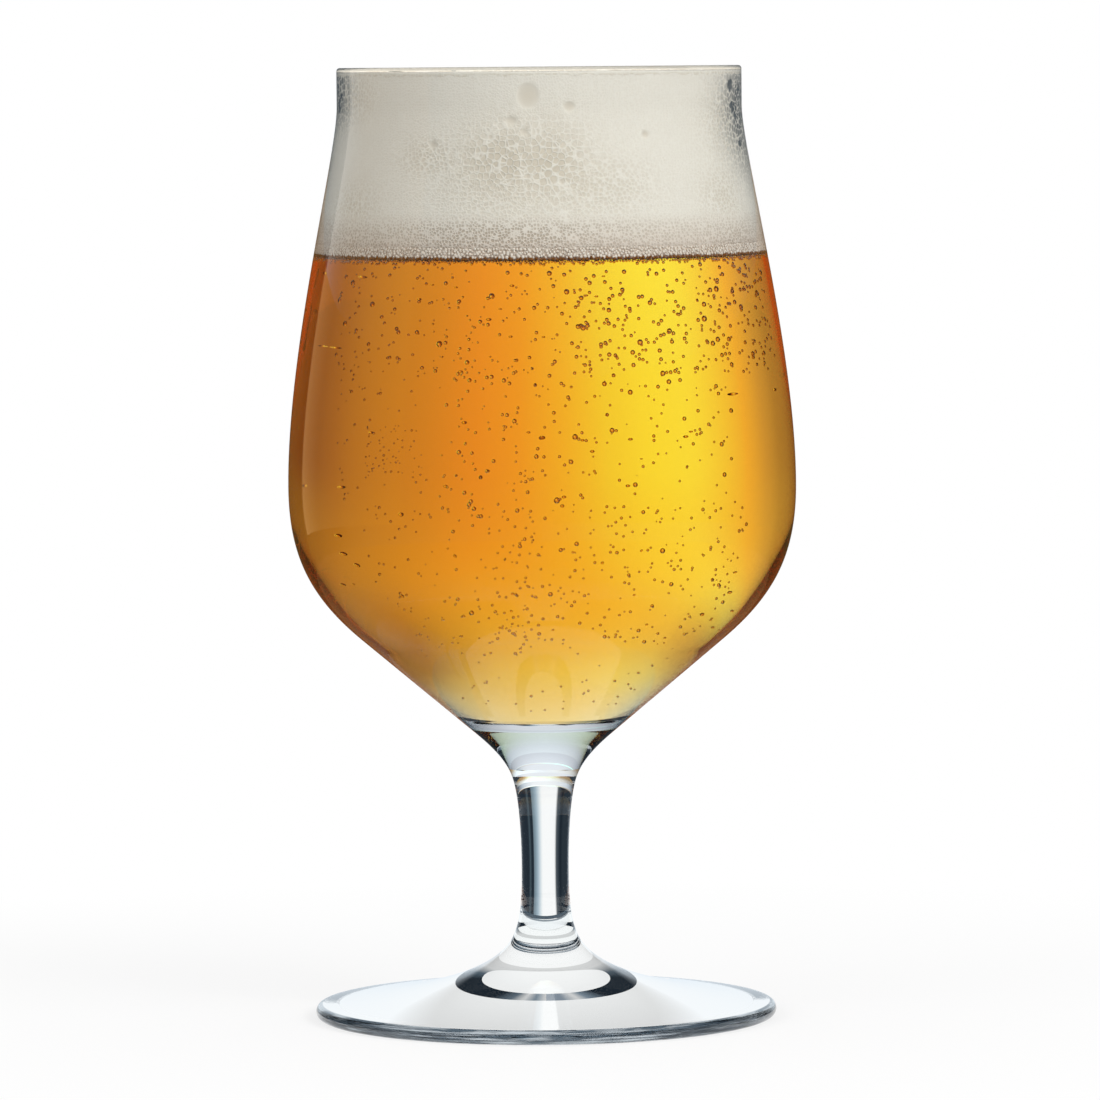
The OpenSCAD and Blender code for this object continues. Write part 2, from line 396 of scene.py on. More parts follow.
stem_outline = joined(
    (0, FOOT_SEAM[1] + SEAM_GAP),
    rising(FOOT_SEAM, FOOT_SEAM_SLOPE, NECK, 0, STEM_LOW_PULLS),
    rising(NECK, 0, BOWL_SEAM, BOWL_SEAM_SLOPE, STEM_HIGH_PULLS),
    (0, BOWL_SEAM[1] - SEAM_GAP),
)
rim_edge = arc((RIM_RADIUS - RIM_WALL / 2, GLASS_HEIGHT - RIM_WALL / 2), RIM_WALL / 2, 0, 180)
foam_inside = bowl_inside[bowl_inside[:, 1] > BEER_HEIGHT][::-1]
beer_inside = bowl_inside[bowl_inside[:, 1] < BEER_HEIGHT][::-1]
beer_edge = (inside_radius(BEER_HEIGHT), BEER_HEIGHT)
bowl_outline = joined((0, BOWL_SEAM[1] + SEAM_GAP), bowl_outside, rim_edge, foam_inside, beer_edge, beer_inside)
print("points of foot, stem and bowl:", len(foot_outline), len(stem_outline), len(bowl_outline))

# %% Finish of every band of glass
EDGE_HALF_ANGLE, LEVEL_SLOPE, RIM_MARGIN = 75, 0.2, 0.01
BASE_FROM, BASE_TO = 44.5, 52.5

foot_bands = np.full(len(foot_outline) - 1, AIR)
foot_bands[: len(foot_hollow) - 1] = UNDERSIDE
from_centre = foot_outline[:-1] - edge_centre
edge_angle = np.degrees(np.arctan2(from_centre[:, 1], from_centre[:, 0]))
foot_bands[(from_centre[:, 0] >= 0) & (np.abs(edge_angle) < EDGE_HALF_ANGLE)] = EDGE
foot_bands[-1] = SEAM

stem_bands = np.full(len(stem_outline) - 1, AIR)
stem_bands[[0, -1]] = SEAM

bowl_band, band_height = np.arange(len(bowl_outline) - 1), bowl_outline[:-1, 1]
bowl_bands = np.full(len(bowl_band), AIR)
below_rim = band_height < GLASS_HEIGHT - RIM_WALL / 2 + RIM_MARGIN
bowl_bands[(bowl_band > bowl_outline[:, 1].argmax()) & below_rim] = WETTED
bowl_bands[len(bowl_band) - len(beer_inside) :] = EASED
run, climb = np.abs(np.diff(bowl_outline, axis=0)).T
level = (climb / np.maximum(run, SAME_POINT) < LEVEL_SLOPE) & (band_height < floor_edge[1])
bowl_bands[level & (bowl_band > len(bowl_band) - CURVE_STEPS)] = AIR
bowl_bands[(band_height > BASE_FROM) & (band_height < BASE_TO) & (bowl_band < len(bowl_outside))] = BASE
bowl_bands[0] = SEAM
print("bands of the bowl by finish:", np.bincount(bowl_bands).tolist())

# %% Turn the three pieces of glass
SHARP_ANGLE = np.radians(30)


def glass_piece(name, outline, band_finish):
    """Turned piece of glass; band_finish gives the number of a finish in GLASS_FINISHES for every band of its
    outline: air, wetted, seam, eased, base, underside or edge."""
    points, faces, bands = turned(outline)
    piece = made_piece(name, points, faces, GLASS_FINISHES, band_finish[bands])
    piece.data.set_sharp_from_angle(angle=SHARP_ANGLE)
    return belongs(piece, name)


glass_piece("foot", foot_outline, foot_bands)
glass_piece("stem", stem_outline, stem_bands)
bowl = glass_piece("bowl", bowl_outline, bowl_bands)
bowl.visible_shadow = False

# %% [markdown]
# ## Beer
# Beer is clear: its colour comes only from the way light crosses it. It takes blue out fast, green slowly
# and red hardly at all, so a thin layer is straw yellow and a thick one is amber. A volume that absorbs
# does the same thing for the same reason. The wall already bends the light, so the beer's own skin has
# index 1. A gas bubble is a hole in the beer, so its skin has the step from beer down to gas.

# %% Absorbing beer and gas bubbles
ABSORBED_PER_METRE = np.array([1.5, 14.0, 50.0])


def beer_finish():
    """Clear liquid: light falls off as exp(-absorption x distance), with its own absorption for each colour."""
    finish, tree = new_finish("golden_beer")
    density = float(ABSORBED_PER_METRE.max())
    passed = (*(1 - ABSORBED_PER_METRE / density).tolist(), 1.0)
    skin = {"Base Color": WHITE, "Roughness": 0.0, "IOR": 1.0, "Transmission Weight": 1.0}
    skin = add_node(tree, "ShaderNodeBsdfPrincipled", skin).outputs["BSDF"]
    body = add_node(tree, "ShaderNodeVolumeAbsorption", {"Color": passed, "Density": density}).outputs["Volume"]
    add_node(tree, "ShaderNodeOutputMaterial", {}, [(skin, "Surface"), (body, "Volume")])
    return finish


def gas_finish():
    """Skin of a gas bubble in beer: its faces look into the gas, so light meets the step from 1.345 down to 1."""
    finish, tree = new_finish("gas_bubble_skin")
    skin = {"Base Color": to_linear("#F3D7A2"), "Roughness": 0.0, "IOR": BEER_INDEX, "Transmission Weight": 1.0}
    skin = add_node(tree, "ShaderNodeBsdfPrincipled", skin)
    add_node(tree, "ShaderNodeOutputMaterial", {}, [(skin.outputs["BSDF"], "Surface")])
    return finish


golden_beer, gas_skin = beer_finish(), gas_finish()
print("share of light left after 50 mm of beer:", np.exp(-0.05 * ABSORBED_PER_METRE).round(3).tolist())

# %% [markdown]
# ## Bubbles
# Gas comes out of the beer on the wall, and its bubbles cling there until they are large enough to rise.
# They could be instances of one ball, but an instance can't be a hole in the beer. So all of them are
# worked out at once, as one array, with few faces each, and joined to the beer's mesh. Their faces wind
# inwards, as those of a hole do.

# %% Balls, many at once
# Rows and columns of faces on a ball that can be told apart, and on one that is only part of a row
BALL_GRID, SMALL_BALL_GRID = (6, 8), (4, 6)


def round_bubbles(centre, radius, rows, around):
    """Balls: centre + radius (sin p cos a, sin p sin a, cos p), all at once; faces wind inwards, into the gas.
    Returns points, the faces of the first ball, and the number of points in a ball."""
    polar = np.linspace(0, np.pi, rows + 1)[1:-1][:, None]
    angle = np.linspace(0, 2 * np.pi, around, endpoint=False)
    height = np.repeat(np.cos(polar), around, axis=1)
    unit = np.stack([np.sin(polar) * np.cos(angle), np.sin(polar) * np.sin(angle), height], -1).reshape(-1, 3)
    unit = np.vstack([unit, [0, 0, 1], [0, 0, -1]])
    points = (centre[:, None, :] + radius[:, None, None] * unit).reshape(-1, 3)
    faces, _ = grid_faces(rows - 1, around)
    return points, faces, len(unit)


def repeated(faces, count, step, first=0):
    """The same faces for every ball, each ball's numbers a step above the last one's, from the first number on."""
    every = []
    for size in sorted({len(face) for face in faces}):
        block = np.array([face for face in faces if len(face) == size])
        every += (block[None] + first + step * np.arange(count)[:, None, None]).reshape(-1, size).tolist()
    return every


def on_circle(from_axis, turn, height):
    """Points at a distance from the axis, a turn about it and a height: (r cos a, r sin a, z)."""
    return np.column_stack([from_axis * np.cos(turn), from_axis * np.sin(turn), height])


print("points in a ball:", round_bubbles(np.zeros((1, 3)), np.ones(1), *BALL_GRID)[2])

# %% Bubbles that cling to the wall
FACING = -np.pi / 2
LARGEST_BUBBLE, SEAT_SHARE, WALL_CLEARANCE = 1.3, 0.95, 0.06
rng = np.random.default_rng(7)

# Count, turn to the right of the front in degrees, height in mm, size in mm, and how far sizes spread
BUBBLE_DRIFTS = (
    (330, (8, 74), (116, 135.3), 0.6, 0.25),
    (200, (-60, 12), (117, 135.3), 0.46, 0.3),
    (210, (-20, 50), (92, 120), 0.5, 0.3),
    (110, (-55, -5), (92, 120), 0.42, 0.25),
    (240, (-10, 55), (70, 94), 0.44, 0.25),
    (150, (-45, 0), (68, 94), 0.42, 0.25),
    (40, (-50, 50), (56, 70), 0.4, 0.2),
    (60, (-44, -28), (99, 108), 0.3, 0.2),
    (150, (110, 250), (70, 135), 0.42, 0.25),
)


def bubble_drift(count, turn_range, height_range, size, spread):
    """Bubbles scattered evenly over a patch of wall. Their sizes are the usual size times e to a bell-shaped draw."""
    turn = FACING + np.radians(rng.uniform(*turn_range, count))
    height = rng.uniform(*height_range, count)
    return np.column_stack([turn, height, size * np.exp(spread * rng.normal(size=count))])


drifts = np.vstack([bubble_drift(*drift) for drift in BUBBLE_DRIFTS])
bubble_turn, bubble_height, bubble_size = drifts[drifts[:, 2] < LARGEST_BUBBLE].T
bubble_radius = bubble_size / 2
bubble_from_axis = inside_radius(bubble_height) - SEAT_SHARE * bubble_radius - WALL_CLEARANCE
bubble_centre = on_circle(bubble_from_axis, bubble_turn, bubble_height)
print("bubbles on the wall:", len(bubble_radius))

# %% Small bubbles that crowd under the foam in two staggered rows
ROW_COUNT, ROW_DROPS, ROW_SHARES = 430, np.array([0.32, 0.72]), [1.0, 0.45]
ROW_UNEVENNESS, ROW_SIZES, ROW_CLEARANCE = 0.12, (0.4, 0.62), 0.05

row_total = ROW_COUNT * len(ROW_DROPS)
row_turn = np.concatenate([(np.arange(ROW_COUNT) + 0.5 * row) * 2 * np.pi / ROW_COUNT for row in (0, 1)])
row_height = np.repeat(BEER_HEIGHT - ROW_DROPS, ROW_COUNT) + rng.uniform(-ROW_UNEVENNESS, ROW_UNEVENNESS, row_total)
row_radius = 0.5 * rng.uniform(*ROW_SIZES, row_total)
row_kept = rng.random(row_total) < np.repeat(ROW_SHARES, ROW_COUNT)
row_from_axis = inside_radius(row_height) - row_radius - ROW_CLEARANCE
row_centre = on_circle(row_from_axis, row_turn, row_height)[row_kept]
print("bubbles under the foam:", len(row_centre))

# %% Turn the beer and join its bubbles
SKIN_GAP = 0.02
BUBBLE_SHARP_ANGLE = np.radians(60)

beer_wall = np.vstack([beer_inside[::-1], beer_edge])
beer_wall = beer_wall - SKIN_GAP * np.column_stack([np.minimum(beer_wall[:, 0], 1), -np.ones(len(beer_wall))])
beer_wall[-1, 1] = BEER_HEIGHT
beer_points, beer_faces, _ = turned(joined(beer_wall, (0, BEER_HEIGHT)))
skin_faces = len(beer_faces)
wall_bubbles = (bubble_centre, bubble_radius, BALL_GRID)
row_bubbles = (row_centre, row_radius[row_kept], SMALL_BALL_GRID)
for centre, radius, ball_grid in (wall_bubbles, row_bubbles):
    ball_points, ball_faces, ball_step = round_bubbles(centre, radius, *ball_grid)
    beer_faces = beer_faces + repeated(ball_faces, len(radius), ball_step, first=len(beer_points))
    beer_points = np.vstack([beer_points, ball_points])
is_bubble = np.arange(len(beer_faces)) >= skin_faces
beer = made_piece("beer", beer_points, beer_faces, [golden_beer, gas_skin], is_bubble)
beer.data.set_sharp_from_angle(angle=BUBBLE_SHARP_ANGLE)
belongs(beer, "beer")

# %% [markdown]
# ## Foam: where its cells are coarse
# The head is millions of gas cells with thin walls of beer. Against the glass the cells lie flat, so the
# wall shows a mosaic: fine nearly everywhere, coarse where bubbles have merged, with a few large bubbles
# and with gaps in the corners, where the foam has drawn off the glass. Each kind is a list of spots, so
# that it can be moved by hand to where the photo has it. The far side has spots of its own.

# %% Cells and spots
WALL_RADIUS = 36


def cell_pattern(along, up, size, seed, around_length):
    """One scattered point in each square of a grid, placed by the sine of a large number, which is as good as a random
    draw and the same every time. Gives the distance to the nearest point, as a share of the square."""
    cells = int(round(around_length / size))
    column, row = along / around_length * cells, up / size
    nearest = np.full(along.shape, np.inf)
    for shift_column in (-1, 0, 1):
        for shift_row in (-1, 0, 1):
            c = np.floor(column) + shift_column
            r = np.floor(row) + shift_row
            scatter_a = np.sin((c % cells) * 127.1 + r * 311.7 + seed) * 43758.5453 % 1
            scatter_b = np.sin((c % cells) * 269.5 + r * 183.3 + seed) * 43758.5453 % 1
            nearest = np.minimum(nearest, np.hypot(c + scatter_a - column, r + scatter_b - row))
    return nearest


def nearby(turn, height, spots):
    """How far each point is from its nearest spot, as a share of the spot's half width and half height. A spot is a
    turn to the right of the front in degrees, a height, a half width along the wall and a half height, all in mm."""
    spots = np.asarray(spots, float)
    apart = np.radians((turn[..., None] - spots[:, 0] + 180) % 360 - 180) * WALL_RADIUS
    return np.hypot(apart / spots[:, 2], (height[..., None] - spots[:, 1]) / spots[:, 3]).min(-1)


def soft_patch(turn, height, spots):
    """1 in the middle of the nearest spot, falling off softly round it as a bell curve."""
    return np.exp(-(nearby(turn, height, spots) ** 2))


def scattered_gaps(count, *ranges):
    """Spots whose turn, height, half width and half height are each drawn evenly from a range."""
    return np.column_stack([rng.uniform(*one, count) for one in ranges])


COARSE_PATCHES = [(-10, 153.5, 8, 6), (3, 153, 7, 7)]
COARSE_PATCHES += [(100, 155, 9, 6), (150, 148, 11, 7), (205, 156, 8, 6), (250, 150, 9, 7)]
MEDIUM_PATCHES = [(15, 149, 11, 6), (-8, 151, 15, 9), (-31, 154, 7, 4), (58, 147, 7, 6)]
MEDIUM_PATCHES += [(66, 160, 9, 9), (-66, 165, 7, 5), (-60, 145, 8, 5)]
MEDIUM_PATCHES += [(105, 150, 14, 9), (150, 152, 18, 9), (205, 153, 14, 8), (250, 152, 15, 9)]
BIG_BUBBLES = [(-3.2, 164.9, 2.1, 2.4), (8.5, 163, 1.2, 1.0), (-8, 160.6, 1.2, 0.9)]
BIG_BUBBLES += [(-4.3, 158.6, 0.9, 0.8), (-31, 156.4, 0.9, 0.8), (31, 158, 0.8, 0.7)]
BIG_BUBBLES += [(96, 163, 2.0, 1.8), (140, 160, 1.2, 1.1), (188, 164.5, 2.4, 2.2), (232, 159, 1.1, 1.0)]
BIG_BUBBLES += [(275, 162, 1.6, 1.4)]
BAND_PATCHES = [(-10, 139.5, 18, 6), (-55, 138.5, 10, 3), (62, 138.5, 9, 3)]
BAND_PATCHES += [(110, 140, 16, 6), (180, 139.5, 14, 6), (245, 140, 16, 6)]
THIN_CORNERS = [(78, 162, 8, 10), (-80, 166, 7, 6), (130, 167, 12, 3), (200, 167, 14, 3)]
right_gaps = scattered_gaps(5, (70, 80), (155, 166), (0.8, 1.3), (0.5, 0.9))
left_gaps = scattered_gaps(4, (-82, -72), (162, 168), (0.8, 1.3), (0.4, 0.8))
far_gaps = scattered_gaps(22, (95, 265), (158, 168.3), (0.4, 0.9), (0.25, 0.6))
film_gaps = np.vstack([[(71, 166.5, 1.6, 1.3)], right_gaps, left_gaps, far_gaps])
print("coarse patches, big bubbles, film gaps:", len(COARSE_PATCHES), len(BIG_BUBBLES), len(film_gaps))

# %% [markdown]
# ## Foam: its surface
# The foam fills the bowl's mouth, clings to the wall and sags in the middle. Cells of 2 mm and more are
# pressed into the surface, since they change how light falls on it. Finer ones would take millions of
# faces and are left to the material, which learns from attributes on the mesh where to draw which.

# %% Outline of the foam
FOAM_AROUND, FOAM_WALL_ROWS, FOAM_TOP_STEPS, FOAM_UNDER_POINTS = 640, 90, 56, 4
FOAM_DIP, FOAM_CLIMB = 0.1, 0.6
CLING_SHARE, LEVEL_SHARE = 0.8, 0.72

wall_height = np.linspace(BEER_HEIGHT - FOAM_DIP, FOAM_HEIGHT + FOAM_CLIMB, FOAM_WALL_ROWS)
foam_wall = np.column_stack([inside_radius(wall_height), wall_height])
cling, middle = foam_wall[-1], FOAM_HEIGHT - FOAM_SAG
top_start, top_end = cling - [0, CLING_SHARE * FOAM_SAG], (LEVEL_SHARE * cling[0], middle)
foam_top = curve(cling, top_start, top_end, (0, middle), FOAM_TOP_STEPS)
under_radius = np.linspace(0, foam_wall[0, 0], FOAM_UNDER_POINTS)
foam_under = np.column_stack([under_radius, np.full(FOAM_UNDER_POINTS, wall_height[0])])
foam_outline = joined(foam_under, foam_wall, foam_top)
foam_points, foam_faces, _ = turned(foam_outline, FOAM_AROUND)
print("points of the foam's outline:", len(foam_outline))

# %% Press the cells into the foam
FILM = 0.04
COARSE_CELL, TOP_CELL, CELL_REACH, TOP_SPAN = 2.0, 2.4, 0.65, 80
COARSE_SEED, TOP_SEED, WALL_MARGIN = 3.0, 9.0, 1e-3
CELL_DENT, BUBBLE_DENT, GAP_DENT, BEAD_DENT, TOP_DENT = 0.12, 0.2, 0.3, 0.28, 0.35
BEAD_ZONE, BEAD_FADE, GAP_SHARPNESS = 2.4, 0.6, 1.5

ring = foam_points[:-2].reshape(-1, FOAM_AROUND, 3)
from_axis, up = np.hypot(ring[..., 0], ring[..., 1]), ring[..., 2]
turn = np.degrees(np.arctan2(ring[..., 1], ring[..., 0]) - FACING)
patch = soft_patch(turn, up, COARSE_PATCHES)
big = np.sqrt(np.clip(1 - nearby(turn, up, BIG_BUBBLES) ** 2, 0, 1))
gap = np.clip(GAP_SHARPNESS * (1 - nearby(turn, up, film_gaps) ** 2), 0, 1)
behind_beads = np.clip((BEER_HEIGHT + BEAD_ZONE - up) / BEAD_FADE, 0, 1)
coarse = cell_pattern(np.radians(turn) * WALL_RADIUS, up, COARSE_CELL, COARSE_SEED, 2 * WALL_RADIUS * np.pi)
dent = FILM + CELL_DENT * patch * np.clip(1 - (coarse / CELL_REACH) ** 2, 0, 1)
dent += BUBBLE_DENT * big + GAP_DENT * gap + BEAD_DENT * behind_beads

outline_ring = foam_outline[1:-1]
on_wall = (outline_ring[:, 0] > inside_radius(outline_ring[:, 1]) - WALL_MARGIN)[:, None]
on_top = (np.arange(len(outline_ring)) > len(foam_under) + len(foam_wall) - 2)[:, None]
ring[..., :2] *= ((from_axis - dent * on_wall) / np.maximum(from_axis, SAME_POINT))[..., None]
top_cells = cell_pattern(ring[..., 0] + TOP_SPAN / 2, ring[..., 1] + TOP_SPAN / 2, TOP_CELL, TOP_SEED, TOP_SPAN)
ring[..., 2] -= on_top * TOP_DENT * np.clip(1 - (top_cells / CELL_REACH) ** 2, 0, 1)
foam_points[:-2] = ring.reshape(-1, 3)
print("deepest dent in the wall of foam in mm:", round(float((dent * on_wall).max()), 2))

# %% Shares of each kind of cell
BAND_TOP, BAND_FADE, BAND_LEAST = 144.5, 2.5, 0.45
MEDIUM_MOST, HOLLOW_MOST, GAP_MOST = 0.85, 0.65, 0.85
MEDIUM_ON_TOP, COARSE_ON_TOP = 0.8, 0.6

low_band = np.clip((BAND_TOP - up) / BAND_FADE, 0, 1)
band = low_band * (BAND_LEAST + (1 - BAND_LEAST) * soft_patch(turn, up, BAND_PATCHES))
medium = MEDIUM_MOST * soft_patch(turn, up, MEDIUM_PATCHES) * (1 - low_band)
foam_layers = {
    "medium_share": np.where(on_top, MEDIUM_ON_TOP, medium),
    "coarse_share": np.where(on_top, COARSE_ON_TOP, patch),
    "band_share": np.where(on_top, 0, band),
    # hollow and film_gap also steer painted shade in the material: beige in big bubbles, grey in thin film
    "hollow": np.where(on_wall, HOLLOW_MOST * big, 0),
    "film_gap": np.where(on_wall, GAP_MOST * gap, 0),
    "thin_froth": np.where(on_wall, soft_patch(turn, up, THIN_CORNERS), 0),
}
print("mean of each share:", {name: round(float(values.mean()), 3) for name, values in foam_layers.items()})

# %% [markdown]
# ## Foam: its material
# Froth is white for the reason that snow is: every wall of every cell scatters light. Close up it is a bright net with
# a beige hollow in each mesh of the net; the beige is partly painted shade for the relief of the cells, which the soft
# light hardly shows. Blender's Voronoi texture gives such cells: the border between two cells is where the nearest and
# the second nearest of its points are equally far. Near the beer the froth is warmer, partly the beer's own colour in
# its wet walls and partly painted warm light that rises through the beer. Where it is a thin film it is painted grey, a
# painted shade for the dark room seen through it.

# %% Froth
# Size in mm, where the wall of a cell starts and ends, and how deep the hollow looks, drawn as painted shade
CELL_KINDS = {
    "fine": (0.48, (0.5, 0.92), 0.2),
    "medium_share": (0.78, (0.55, 0.94), 0.75),
    "coarse_share": (1.1, (0.68, 0.97), 0.9),
    "band_share": (0.56, (0.5, 0.85), 0.9),
}
BAND_CELL_SHADE = 0.28
# Heights above the beer in mm between which the froth's warmth, partly the beer's colour and partly painted warm light,
# and the brown line fade out, and how strong they are
BEER_TINT_AND_GLOW, BROWN_LINE = (0, 8, 0.5), (0.4, 0.9, 0.8)


def packed_cells(tree, place, size, walls):
    """Round cells of a size in mm that touch each other: 1 inside a cell, 0 on the froth between. It divides the
    distance to the nearest of many scattered points by that to the second nearest: 1 where two cells meet."""
    scale = {"Scale": 1 / (size * MM), "Randomness": 0.8}
    nearest, second = [
        add_node(tree, "ShaderNodeTexVoronoi", scale | {"feature": feature}, [(place, "Vector")]).outputs["Distance"]
        for feature in ("F1", "F2")
    ]
    ratio = add_node(tree, "ShaderNodeMath", {"operation": "DIVIDE"}, [(nearest, 0), (second, 1)])
    inside = {"From Min": walls[0], "From Max": walls[1], "To Min": 1.0, "To Max": 0.0}
    return add_node(tree, "ShaderNodeMapRange", inside, [(ratio.outputs[0], "Value")]).outputs["Result"]


def foam_finish():
    """Cream-white froth, wet and softly shining. Fine cells lie everywhere, and the other kinds where the attributes
    ask for them: bright froth between, a beige hollow inside, which is partly painted shade. Then come, one over the
    other, the warmth near the beer, partly its colour and partly painted warm light, the brown line above it, the
    painted shade in the cells of the low band, and the grey of a thin film, painted shade for the dark room seen
    through it."""
    finish, tree = new_finish("beer_froth")
    place = add_node(tree, "ShaderNodeTexCoord", {}).outputs["Object"]
    share = {
        name: add_node(tree, "ShaderNodeAttribute", {"attribute_name": name}).outputs["Fac"] for name in foam_layers
    }
    cells = {kind: packed_cells(tree, place, size, walls) for kind, (size, walls, _) in CELL_KINDS.items()}
    shaded_hollows = {
        kind: add_node(tree, "ShaderNodeMath", {"operation": "MULTIPLY", 1: depth}, [(cells[kind], 0)]).outputs[0]
        for kind, (_, _, depth) in CELL_KINDS.items()
    }
    tone = shaded_hollows.pop("fine")
    for kind, hollow in shaded_hollows.items():
        tone = add_node(tree, "ShaderNodeMix", {}, [(share[kind], 0), (tone, 2), (hollow, 3)]).outputs[0]
    tone = add_node(tree, "ShaderNodeMath", {"operation": "MAXIMUM"}, [(tone, 0), (share["hollow"], 1)]).outputs[0]
    # Bright froth and beige hollows; the beige is partly painted shade for the relief of the cells
    cream = {"data_type": "RGBA", 6: to_linear("#F8F3E8"), 7: to_linear("#DDD2BF")}
    colour = add_node(tree, "ShaderNodeMix", cream, [(tone, 0)]).outputs[2]

    height = add_node(tree, "ShaderNodeSeparateXYZ", {}, [(place, 0)]).outputs["Z"]
    amounts = []
    for low, high, most in (BEER_TINT_AND_GLOW, BROWN_LINE):
        fade = {"From Min": (BEER_HEIGHT + low) * MM, "From Max": (BEER_HEIGHT + high) * MM}
        fade |= {"To Min": most, "To Max": 0.0}
        amounts.append(add_node(tree, "ShaderNodeMapRange", fade, [(height, "Value")]).outputs["Result"])
    shade = [(cells["band_share"], 0), (share["band_share"], 1)]
    shade = add_node(tree, "ShaderNodeMath", {"operation": "MULTIPLY"}, shade).outputs[0]
    shade = add_node(tree, "ShaderNodeMath", {"operation": "MULTIPLY", 1: BAND_CELL_SHADE}, [(shade, 0)]).outputs[0]
    film = [(cells["coarse_share"], 0), (share["thin_froth"], 1), (share["film_gap"], 2)]
    film = add_node(tree, "ShaderNodeMath", {"operation": "MULTIPLY_ADD", "use_clamp": True}, film).outputs[0]
    # Laid over in turn: warmth near the beer, partly the beer's colour and partly painted warm light; the brown line;
    # painted shade in the band's cells; painted grey for the dark room seen through thin film
    for amount, tint in zip((*amounts, shade, film), ("#CDB29F", "#7A4A24", "#8A7460", "#666B6E")):
        over = {"data_type": "RGBA", 7: to_linear(tint)}
        colour = add_node(tree, "ShaderNodeMix", over, [(amount, 0), (colour, 6)]).outputs[2]

    raised = add_node(tree, "ShaderNodeMath", {"operation": "SUBTRACT", 0: 1.0}, [(tone, 1)]).outputs[0]
    bump = add_node(tree, "ShaderNodeBump", {"Strength": 0.6, "Distance": 0.2 * MM}, [(raised, "Height")])
    shader = add_node(
        tree,
        "ShaderNodeBsdfPrincipled",
        {"Roughness": 0.35, "IOR": BEER_INDEX},
        [(colour, "Base Color"), (bump.outputs["Normal"], "Normal")],
    )
    add_node(tree, "ShaderNodeOutputMaterial", {}, [(shader.outputs["BSDF"], "Surface")])
    return finish


print("sizes of the foam's cells in mm:", {kind: size for kind, (size, _, _) in CELL_KINDS.items()})

# %% Turn the head of foam
def with_layer(piece, name, values):
    """Writes one number for each point of the mesh, as an attribute that a material can read."""
    layer = piece.data.attributes.new(name, "FLOAT", "POINT")
    layer.data.foreach_set("value", np.asarray(values, np.float32))


foam = made_piece("foam_head", foam_points, foam_faces, [foam_finish()], np.zeros(len(foam_faces), int))
for name, values in foam_layers.items():
    with_layer(foam, name, np.r_[values.ravel(), 0, 0])
belongs(foam, "foam_head")

# %% [markdown]
# ## Beads at the head line
# Where the head meets the beer, the newest bubbles stand in rows like beads against the wall, pale in the middle and
# brown towards their edges: partly brown beer between them, partly painted shade on the round of each bead. They are
# many copies of one ball with two dozen faces. Which part of a ball looks out through the glass is worked out once and
# kept as an attribute, so that the pale middles and the painted shade stay where they are from every side.

# %% Skins of the beads
MOTTLE = 0.8 * MM


def bead_finish(name, first, second, mottled):
    """Wet skin whose colour runs from the first colour to the second: by a noise of 0.8 mm where it is mottled, and
    otherwise by the attribute bead_edge_shade, painted shade that is 0 where a bead looks out through the glass and
    grows towards its edge."""
    finish, tree = new_finish(name)
    if mottled:
        place = add_node(tree, "ShaderNodeTexCoord", {}).outputs["Object"]
        amount = add_node(tree, "ShaderNodeTexNoise", {"Scale": 1 / MOTTLE}, [(place, "Vector")]).outputs["Fac"]
    else:
        amount = add_node(tree, "ShaderNodeAttribute", {"attribute_name": "bead_edge_shade"}).outputs["Fac"]
    tone = {"data_type": "RGBA", 6: to_linear(first), 7: to_linear(second)}
    tone = add_node(tree, "ShaderNodeMix", tone, [(amount, 0)])
    skin = {"Roughness": 0.2, "IOR": BEER_INDEX}
    skin = add_node(tree, "ShaderNodeBsdfPrincipled", skin, [(tone.outputs[2], "Base Color")])
    add_node(tree, "ShaderNodeOutputMaterial", {}, [(skin.outputs["BSDF"], "Surface")])
    return finish


# Most beads are pale, and brown towards their edges, partly the beer's brown and partly painted shade. The lowest row
# stands in beer and is brown all over
pale_bead = bead_finish("pale_bead_skin", "#F6EEE2", "#B59A80", mottled=False)
wet_bead = bead_finish("wet_bead_skin", "#5A3210", "#A06A30", mottled=True)
print("bead skins:", pale_bead.name, wet_bead.name)

# %% Rows of beads
BEAD_ROWS, BEADS_IN_ROW = 5, 360
BEAD_RADII, BEAD_LIFT, BEAD_STEP = (0.22, 0.4), 0.15, 0.42
TURN_UNEVENNESS, HEIGHT_UNEVENNESS = 0.3, 0.15
PALE_FROM, PALE_WIDTH = 0.7, 0.6

bead_row = np.repeat(np.arange(BEAD_ROWS), BEADS_IN_ROW)
bead_radius = rng.uniform(*BEAD_RADII, len(bead_row))
bead_place = np.tile(np.arange(BEADS_IN_ROW), BEAD_ROWS) + 0.5 * bead_row
bead_place = bead_place + rng.uniform(-TURN_UNEVENNESS, TURN_UNEVENNESS, len(bead_row))
bead_turn = bead_place * 2 * np.pi / BEADS_IN_ROW
bead_height = BEER_HEIGHT + BEAD_LIFT + BEAD_STEP * bead_row
bead_height = bead_height + rng.uniform(-HEIGHT_UNEVENNESS, HEIGHT_UNEVENNESS, len(bead_row))
bead_centre = on_circle(inside_radius(bead_height) - FILM - bead_radius, bead_turn, bead_height)
bead_points, bead_faces, bead_step = round_bubbles(bead_centre, bead_radius, *SMALL_BALL_GRID)
bead_faces = [face[::-1] for face in repeated(bead_faces, len(bead_radius), bead_step)]
in_lowest_row = bead_row[np.array([face[0] for face in bead_faces]) // bead_step] == 0
beads = made_piece("foam_beads", bead_points, bead_faces, [pale_bead, wet_bead], in_lowest_row)

outward = on_circle(1, bead_turn, np.zeros(len(bead_turn)))
direction = (bead_points.reshape(-1, bead_step, 3) - bead_centre[:, None]) / bead_radius[:, None, None]
looks_out = (direction * outward[:, None]).sum(-1)
